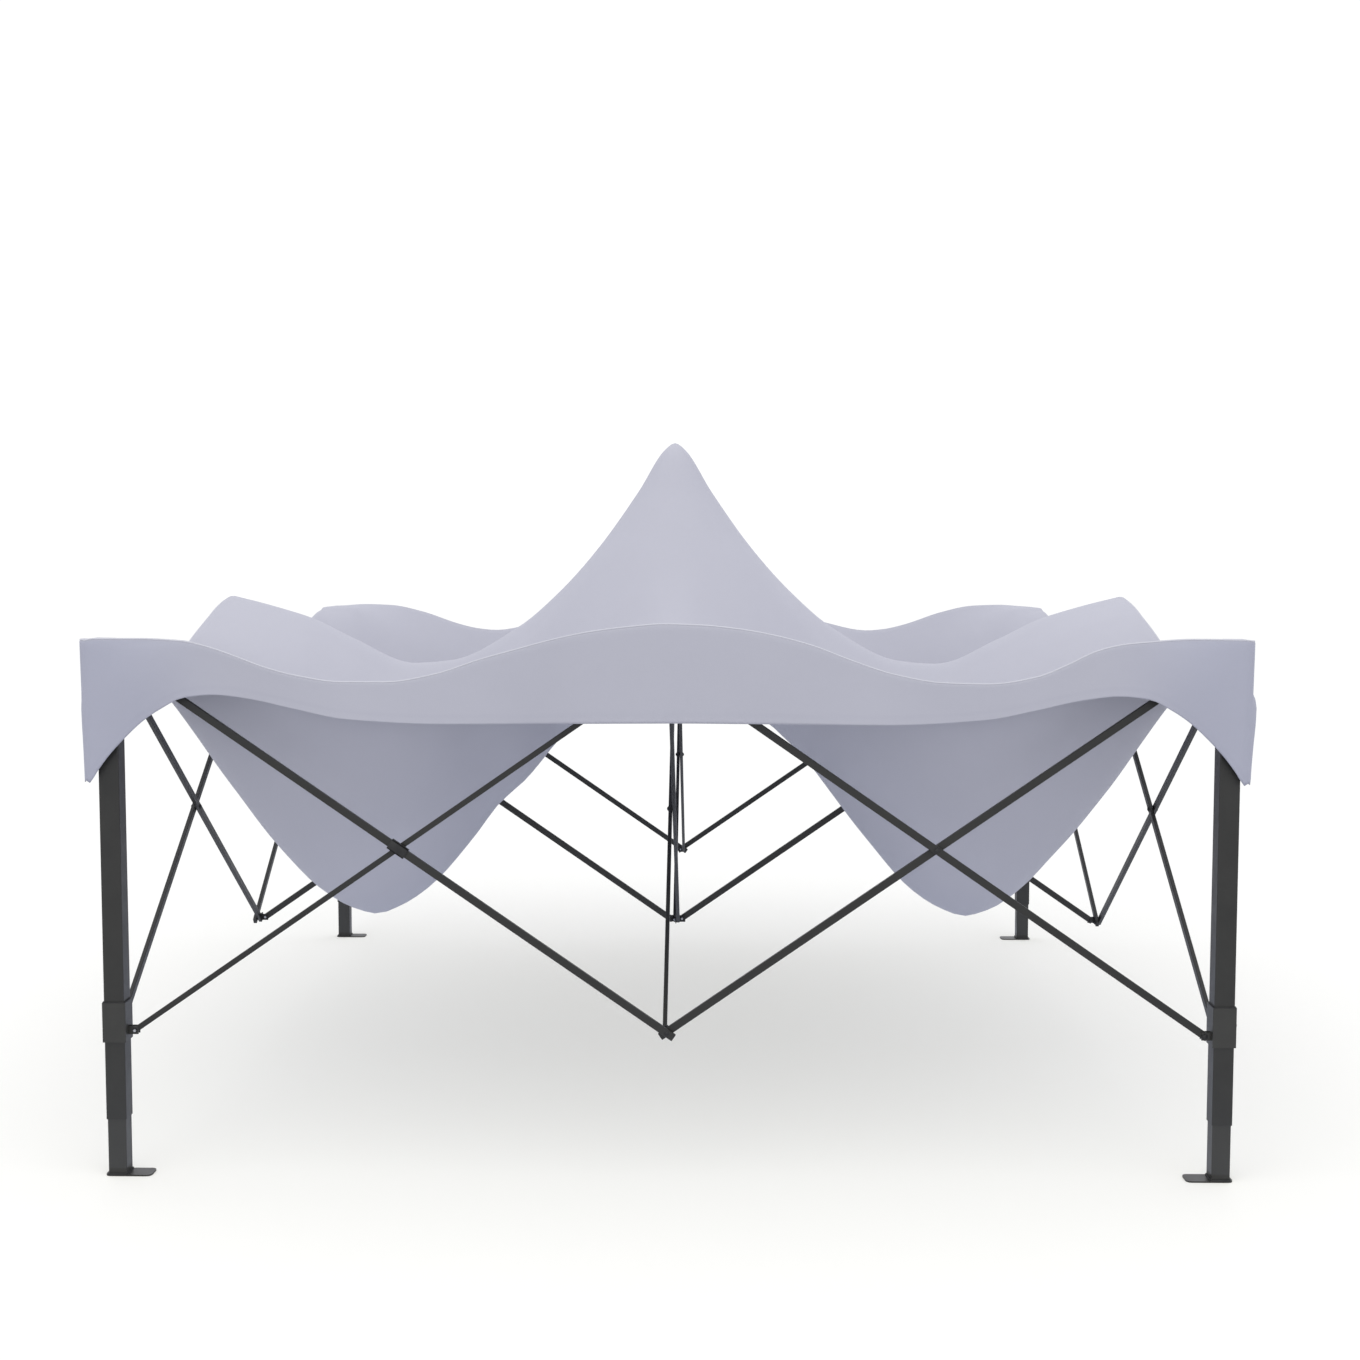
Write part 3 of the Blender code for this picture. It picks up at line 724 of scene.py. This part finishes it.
def make_canopy():
    """The sheet: a roof grid, a rolled edge and a valance. Returns it, its area and the piping's line."""
    bm = bmesh.new()
    uv = bm.loops.layers.uv.new("cloth")
    hem_layer = bm.verts.layers.float.new("hem")
    # Mask for the painted shade towards the corners.
    corner_shade_layer = bm.verts.layers.float.new("corner_shade")
    cloth_at = {}
    lines = [grid_line(k / GRID_HALF) for k in range(-GRID_HALF, GRID_HALF + 1)]
    grid = []
    for b in lines:
        row = []
        for a in lines:
            place, plan = roof_point(a, b)
            vertex = bm.verts.new(place)
            cloth_at[vertex] = plan
            row.append(vertex)
        grid.append(row)
    last = 2 * GRID_HALF
    for j in range(last):
        for i in range(last):
            bm.faces.new((grid[j][i], grid[j][i + 1], grid[j + 1][i + 1], grid[j + 1][i]))
    border = [(lines[i], -1.0, grid[0][i]) for i in range(last)]
    border += [(1.0, lines[j], grid[j][last]) for j in range(last)]
    border += [(lines[i], 1.0, grid[last][i]) for i in range(last, 0, -1)]
    border += [(-1.0, lines[j], grid[j][0]) for j in range(last, 0, -1)]
    count = len(border)
    laps = [0.0]
    for k in range(1, count):
        laps.append(laps[-1] + (border[k][2].co - border[k - 1][2].co).xy.length)
    rings = [[vertex for a, b, vertex in border]]
    for step in range(1, ROUND_ROWS + 1):
        turn = math.radians(90 * step / ROUND_ROWS)
        out = EDGE_ROUND * math.sin(turn)
        down = EDGE_ROUND * (1 - math.cos(turn))
        ring = []
        for k, (a, b, vertex) in enumerate(border):
            made = bm.verts.new(vertex.co + outward_at(a, b) * out - UP * down)
            cloth_at[made] = (laps[k], EDGE_ROUND * turn)
            # Painted corner shade, coming in over the rolled edge.
            made[corner_shade_layer] = smooth(*CORNER_SHADE_SPAN, along_side(a, b)) * step / ROUND_ROWS
            ring.append(made)
        rings.append(ring)
    top = rings[-1]
    for step in range(1, VALANCE_ROWS + 1):
        drop = 1 - (1 - step / VALANCE_ROWS) ** VALANCE_CROWDING
        ring = []
        for k, (a, b, _) in enumerate(border):
            along = along_side(a, b)
            start = top[k].co
            fall = start.z - curve_height(VALANCE, along)
            point = start + valance_shift(a, b, laps[k], drop)
            point.z = start.z - fall * drop
            made = bm.verts.new(point)
            made[hem_layer] = max(0.0, 1 - abs(fall * (1 - drop) - HEM_DEPTH) / HEM_SEAM)
            # Painted corner shade on the valance.
            made[corner_shade_layer] = smooth(*CORNER_SHADE_SPAN, along)
            cloth_at[made] = (laps[k], fall * drop)
            ring.append(made)
        rings.append(ring)
    for upper, lower in zip(rings, rings[1:]):
        for k in range(count):
            n = (k + 1) % count
            bm.faces.new((upper[k], lower[k], lower[n], upper[n]))
    for face in bm.faces:
        for loop in face.loops:
            loop[uv].uv = cloth_at[loop.vert]
        face.smooth = True
    bmesh.ops.recalc_face_normals(bm, faces=bm.faces)
    area = sum(face.calc_area() for face in bm.faces)
    piping_line = [vertex.co.copy() for vertex in rings[PIPING_ROW]]
    canopy = new_piece(bm, "canopy_sheet", CLOTH, "root")
    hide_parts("canopy")
    return canopy, area, piping_line


def tube(name, line, radius, sides, finish):
    """A closed tube along a closed line of points."""
    bm = bmesh.new()
    rings = []
    count = len(line)
    for k, point in enumerate(line):
        ahead = (line[(k + 1) % count] - line[k - 1]).normalized()
        across = ahead.cross(UP).normalized()
        rings.append(round_ring(bm, point, across, across.cross(ahead), radius, sides))
    for k in range(count):
        for face in join_rings(bm, rings[k], rings[(k + 1) % count]):
            face.smooth = True
    bmesh.ops.recalc_face_normals(bm, faces=bm.faces)
    return new_piece(bm, name, finish, "root")


def follow_legs(obj):
    """Lets a piece of cloth draw in with the four leg tops as the frame folds."""
    groups = {}
    for corner, point in legs():
        groups[corner] = (point, obj.vertex_groups.new(name=corner))
    for vertex in obj.data.vertices:
        for point, group in groups.values():
            share_x = clamped(0.5 + 0.5 * vertex.co.x / point.x)
            share_y = clamped(0.5 + 0.5 * vertex.co.y / point.y)
            group.add([vertex.index], share_x * share_y, "REPLACE")
    for corner, (point, group) in groups.items():
        hook = obj.modifiers.new(f"follows_{corner}", "HOOK")
        hook.object = frame["bodies"][f"leg_{corner}"]
        hook.vertex_group = group.name
        hook.falloff_type = "NONE"
        hook.matrix_inverse = Matrix.Identity(4)


def thicken(sheet):
    """Gives the cloth its thickness below, after the hooks have moved it."""
    fabric = sheet.modifiers.new("fabric", "SOLIDIFY")
    fabric.thickness = FABRIC
    fabric.offset = -1


# ---- Fasteners, gathered by body, and fittings
ROUND_SIDES = 20
NUT_SIDES = 6
DOME_ANGLES = (12, 28, 46, 66)
WASHER_EDGE = 0.0003


def dome(radius, height, washer=0.0, thickness=0.0012):
    """Profile of a domed head, with a washer of this radius and thickness under it where one is asked for."""
    profile = [(0.0, 0.0)]
    base = 0.0
    if washer:
        flat = washer - WASHER_EDGE
        profile += [(flat, 0.0), (washer, WASHER_EDGE), (washer, thickness - WASHER_EDGE), (flat, thickness)]
        base = thickness
    profile.append((radius, base))
    for angle in DOME_ANGLES:
        turn = math.radians(angle)
        profile.append((radius * math.cos(turn), base + height * math.sin(turn)))
    profile.append((0.0, base + height))
    return profile


def nut(radius, height, collar=0.0018):
    """Profile of a locknut with its collar on top."""
    top = height + collar
    return [
        (0.0, 0.0), (radius * 0.90, 0.0), (radius, 0.0007), (radius, height - 0.0008), (radius * 0.86, height),
        (radius * 0.52, height), (radius * 0.46, top), (0.0, top),
    ]


WASHER_RADIUS = 0.0066
WASHER_THICKNESS = 0.0010
NUT_SEAT = 0.0011
BOLT = dome(0.0062, 0.0038, washer=0.0085)
WASHER = [(0.0, 0.0), (WASHER_RADIUS, 0.0), (WASHER_RADIUS, WASHER_THICKNESS), (0.0, WASHER_THICKNESS)]
LOCKNUT = nut(0.0044, 0.0048)
RIVET = dome(0.0065, 0.0030)
BUTTON = dome(0.0048, 0.0055)
BUTTON_RISE = 0.013
CATCH = dome(0.0075, 0.0065, washer=0.0125, thickness=0.003)
SADDLED_BAY = ("front", "front_left")
fasteners = {}


def fasten(body, profile, origin, axis, sides=ROUND_SIDES, kind="dark"):
    fasteners.setdefault((body, kind), []).append((profile, origin, axis, sides))


def bolt_through(body, pivot, axis, head, tail):
    """A bolt along axis: its head at the distance head from the pivot, its washer and nut at tail."""
    fasten(body, BOLT, pivot + axis * head, axis)
    fasten(body, WASHER, pivot + axis * tail, -axis)
    fasten(body, LOCKNUT, pivot + axis * (tail - NUT_SEAT), -axis, sides=NUT_SIDES, kind="zinc")


def fasten_trusses():
    for side, outward in SIDES.items():
        across = UP.cross(outward)
        crossing = outward * (HUB_REACH + BAY / 2) + UP * MIDDLE_PIVOT
        fasten(f"inner_{side}_bar_down", BOLT, crossing - across * BAR_OUTER, -across)
        fasten(f"inner_{side}_bar_up", BOLT, crossing + across * BAR_OUTER, across)
        lug = GAP / 2 + PLATE
        top_hub = outward * HUB_REACH + UP * TOP_PIVOT
        bottom_hub = outward * HUB_REACH + UP * BOTTOM_PIVOT
        bolt_through("root", top_hub, -across, BAR_OUTER, -lug)
        bolt_through("centre_bottom_hub", bottom_hub, across, BAR_OUTER, -lug)
        top = outward * INNER_REACH + UP * TOP_PIVOT
        bottom = outward * INNER_REACH + UP * BOTTOM_PIVOT
        bolt_through(f"{side}_top_joint", top, across, BAR_OUTER, -lug)
        bolt_through(f"{side}_bottom_joint", bottom, -across, BAR_OUTER, -lug)
        outer_top = outward * LEG_CENTRE + UP * TOP_PIVOT
        outer_bottom = outward * LEG_CENTRE + UP * BOTTOM_PIVOT
        fasten(f"{side}_top_joint", RIVET, outer_top + outward * BAR_OUTER, outward)
        fasten(f"{side}_bottom_joint", RIVET, outer_bottom + outward * BAR_OUTER, outward)
    for side, outward, direction in bays():
        corner = corner_name(outward + direction)
        across = UP.cross(direction)
        crossing = outward * LEG_CENTRE + direction * BAY / 2 + UP * MIDDLE_PIVOT
        if (side, corner) != SADDLED_BAY:
            fasten(f"{side}_truss_{corner}_bar_up", BOLT, crossing + across * BAR_OUTER, across)
        fasten(f"{side}_truss_{corner}_bar_down", BOLT, crossing - across * BAR_OUTER, -across)
        top = outward * LEG_CENTRE + direction * BAY + UP * TOP_PIVOT
        bottom = outward * LEG_CENTRE + direction * BAY + UP * BOTTOM_PIVOT
        bolt_through(f"leg_{corner}", top + across * LANE, across, LUG_OUTER, -LUG_OUTER)
        bolt_through(f"slider_{corner}", bottom - across * LANE, -across, LUG_OUTER, -LUG_OUTER)


def fasten_legs():
    """The snap button low on each outer leg, clear of the folded slider, and the slider's catch."""
    for corner, point in legs():
        out_x = Vector((math.copysign(1, point.x), 0, 0))
        button = point + out_x * (OUTER_LEG / 2) + UP * (OUTER_LEG_FOOT + BUTTON_RISE)
        fasten(f"leg_{corner}", BUTTON, button, out_x, kind="zinc")
        catch = point + out_x * (SLIDER / 2) + UP * ((SLIDER_BOTTOM + SLIDER_TOP) / 2)
        fasten(f"slider_{corner}", CATCH, catch, out_x)


def build_fasteners():
    for (body, kind), shapes in fasteners.items():
        bm = bmesh.new()
        for profile, origin, axis, sides in shapes:
            turned(bm, profile, origin, axis, sides)
        bmesh.ops.recalc_face_normals(bm, faces=bm.faces)
        finish = ZINC if kind == "zinc" else BLACKENED
        hard_piece(bm, f"{kind}_bolts_{body}", finish, body)


SADDLE_HALF_LENGTH = 0.027
SADDLE_HALF_HEIGHT = 0.0150
SADDLE_WALL = 0.004
SADDLE_LIP = 0.002
SADDLE_EDGE = 0.0012


def make_saddle():
    """The saddle over the front left crossing, on the outer bar."""
    outward, direction = SIDES["front"], SIDES["left"]
    rising = direction * math.cos(BAR_SLOPE) + UP * math.sin(BAR_SLOPE)
    crossing = outward * LEG_CENTRE + direction * BAY / 2 + UP * MIDDLE_PIVOT
    matrix = axes_at(crossing, rising, UP.cross(rising).normalized())
    bm = bmesh.new()
    outer = BAR_OUTER + SADDLE_WALL
    spans = (
        (BAR_OUTER + GAP, -SADDLE_HALF_HEIGHT, SADDLE_HALF_HEIGHT),
        (SADDLE_LIP, -SADDLE_HALF_HEIGHT, -BAR_HEIGHT / 2 - GAP),
        (SADDLE_LIP, BAR_HEIGHT / 2 + GAP, SADDLE_HALF_HEIGHT),
    )
    for inner, low, high in spans:
        soft_box(
            bm, matrix, (-SADDLE_HALF_LENGTH, inner, low), (SADDLE_HALF_LENGTH, outer, high), SADDLE_EDGE
        )
    hard_piece(bm, "crossing_sleeve", BLACKENED, "front_truss_front_left_bar_up")


QUARTER_POINTS = 6
RING_CHAMFER = 0.0006
SMALLEST_RADIUS = 0.001


def square_loop(bm, centre, half, z, radius):
    """Adds the vertices of a square with rounded corners."""
    points = []
    for quarter in range(4):
        cx = (half - radius) * (1 if quarter in (0, 3) else -1)
        cy = (half - radius) * (1 if quarter in (0, 1) else -1)
        for step in range(QUARTER_POINTS):
            angle = math.pi / 2 * (quarter + step / (QUARTER_POINTS - 1))
            offset = Vector((cx + radius * math.cos(angle), cy + radius * math.sin(angle), z))
            points.append(bm.verts.new(centre + offset))
    return points


def square_ring(centre, half_in, half_out, low, high, radius):
    """A mesh of a square ring around a tube."""
    bm = bmesh.new()
    inner_radius = max(radius - (half_out - half_in), SMALLEST_RADIUS)
    chamfer = min(RING_CHAMFER, (high - low) / 3)
    shape = (
        (half_in, low, inner_radius), (half_in, high, inner_radius), (half_out - chamfer, high, radius),
        (half_out, high - chamfer, radius), (half_out, low, radius),
    )
    rings = [square_loop(bm, centre, half, z, r) for half, z, r in shape]
    for inner, outer in zip(rings, rings[1:] + rings[:1]):
        join_rings(bm, inner, outer)
    bmesh.ops.recalc_face_normals(bm, faces=bm.faces)
    return bm


LINER_INSET = 0.0006
LINER_HEIGHT = 0.0026
LINER_RADIUS = 0.006
WELD_WIDTH = 0.0035
WELD_HEIGHT = 0.004
WELD_RADIUS = 0.007
WELD_SHARP = 60


def dress_legs():
    """Plastic liners at the sliders' ends, and the weld where each inner leg meets its foot plate."""
    for corner, point in legs():
        liner = square_ring(
            point, OUTER_LEG / 2 + LINER_INSET, SLIDER / 2 - LINER_INSET,
            SLIDER_TOP + GAP, SLIDER_TOP + LINER_HEIGHT, LINER_RADIUS,
        )
        hard_piece(liner, f"slider_liner_{corner}", BLACKENED, f"slider_{corner}")
        weld = square_ring(
            point, INNER_LEG / 2 + GAP, INNER_LEG / 2 + WELD_WIDTH,
            FOOT_THICKNESS, FOOT_THICKNESS + WELD_HEIGHT, WELD_RADIUS,
        )
        hard_piece(weld, f"foot_weld_{corner}", BLACKENED, f"inner_leg_{corner}", WELD_SHARP)


# ---- Stage, light and camera
FLOOR_HALF = 60
FLOOR_DROP = 0.0005
FLOOR_COLOUR = (0.584, 0.588, 0.605, 1)
FLOOR_GLOW = 0.41
FLOOR_GLOW_COLOUR = (1, 0.988, 0.87, 1)
SKY_STRENGTH = 1.06
SKY_TINT = (0.980, 0.985, 1.030, 1)
WHITE = (1, 1, 1, 1)
LIGHTS = {
    "key": {
        "place": (-0.5, -4.4, 7.4), "target": (0, 0, 1.4), "size": 6.0, "power": 128,
        "colour": (1, 0.97, 0.80),
    },
    "under": {
        "place": (0, -0.2, 0.02), "target": (0, -0.2, 1.4), "size": 4.0, "power": 12.2,
        "colour": (0.85, 0.94, 1.17),
    },
}
PHOTO_SIZE = 1360
SENSOR_WIDTH = 36
CAMERA_PLACE = (0.1088, -6.2755, 1.7191)
CAMERA_YAW = -0.0154
CAMERA_PITCH = 0.0717
CAMERA_ROLL = 0.0007
CAMERA_FOCAL = 1756.7
CAMERA_REACH = 200


def make_floor():
    bm = bmesh.new()
    bmesh.ops.create_grid(bm, x_segments=1, y_segments=1, size=FLOOR_HALF)
    mesh = bpy.data.meshes.new("floor")
    bm.to_mesh(mesh)
    bm.free()
    floor = bpy.data.objects.new("floor", mesh)
    floor.location.z = -FLOOR_DROP
    bpy.context.scene.collection.objects.link(floor)
    made, tree, shader = material("pale_floor", **{
        "Roughness": 0.9, "Base Color": FLOOR_COLOUR, "Specular IOR Level": 0.0,
        "Emission Color": FLOOR_GLOW_COLOUR,
    })
    seen = add(tree, "ShaderNodeLightPath").outputs["Is Camera Ray"]
    tree.links.new(math_node(tree, "MULTIPLY", seen, FLOOR_GLOW), shader.inputs["Emission Strength"])
    mesh.materials.append(made)


def make_sky():
    """White where the camera sees it, faintly blue as a light."""
    world = bpy.data.worlds.new("studio")
    bpy.context.scene.world = world
    world.use_nodes = True
    tree = world.node_tree
    sky = tree.nodes["Background"]
    sky.inputs["Strength"].default_value = SKY_STRENGTH
    tint = add(tree, "ShaderNodeMix", data_type="RGBA")
    tint.inputs["A"].default_value = SKY_TINT
    tint.inputs["B"].default_value = WHITE
    seen = add(tree, "ShaderNodeLightPath").outputs["Is Camera Ray"]
    tree.links.new(seen, tint.inputs["Factor"])
    tree.links.new(tint.outputs["Result"], sky.inputs["Color"])


def area_light(name, place, target, size, power, colour):
    light = bpy.data.lights.new(name, "AREA")
    light.shape = "SQUARE"
    light.size = size
    light.energy = power
    light.color = colour
    obj = bpy.data.objects.new(name, light)
    obj.location = place
    obj.rotation_euler = (Vector(target) - Vector(place)).to_track_quat("-Z", "Y").to_euler()
    obj.visible_camera = False
    bpy.context.scene.collection.objects.link(obj)


def make_camera():
    """The photo's own view: the focal length is in pixels of its square image."""
    level = math.cos(CAMERA_PITCH)
    forward = Vector((math.sin(CAMERA_YAW) * level, math.cos(CAMERA_YAW) * level, -math.sin(CAMERA_PITCH)))
    right = Vector((math.cos(CAMERA_YAW), -math.sin(CAMERA_YAW), 0))
    up = right.cross(forward)
    tilted_right = right * math.cos(CAMERA_ROLL) + up * math.sin(CAMERA_ROLL)
    tilted_up = up * math.cos(CAMERA_ROLL) - right * math.sin(CAMERA_ROLL)
    camera = bpy.data.cameras.new("camera")
    camera.sensor_width = SENSOR_WIDTH
    camera.lens = SENSOR_WIDTH * CAMERA_FOCAL / PHOTO_SIZE
    camera.clip_end = CAMERA_REACH
    obj = bpy.data.objects.new("camera", camera)
    matrix = Matrix((tilted_right, tilted_up, -forward)).transposed().to_4x4()
    matrix.translation = CAMERA_PLACE
    obj.matrix_world = matrix
    bpy.context.scene.collection.objects.link(obj)
    bpy.context.scene.camera = obj
    bpy.context.scene.view_settings.view_transform = "Standard"


make_camera()
make_floor()
make_sky()
for light_name, values in LIGHTS.items():
    area_light(light_name, **values)
dress_frame()
sheet, sheet_area, piping_line = make_canopy()
# A real piping on the rolled edge, in the lighter cloth of the painted highlight.
piping = tube("canopy_piping", piping_line, PIPING_RADIUS, PIPING_SIDES, PIPING_HIGHLIGHT_CLOTH)
for cloth_piece in (sheet, piping):
    follow_legs(cloth_piece)
thicken(sheet)
fasten_trusses()
fasten_legs()
build_fasteners()
make_saddle()
dress_legs()
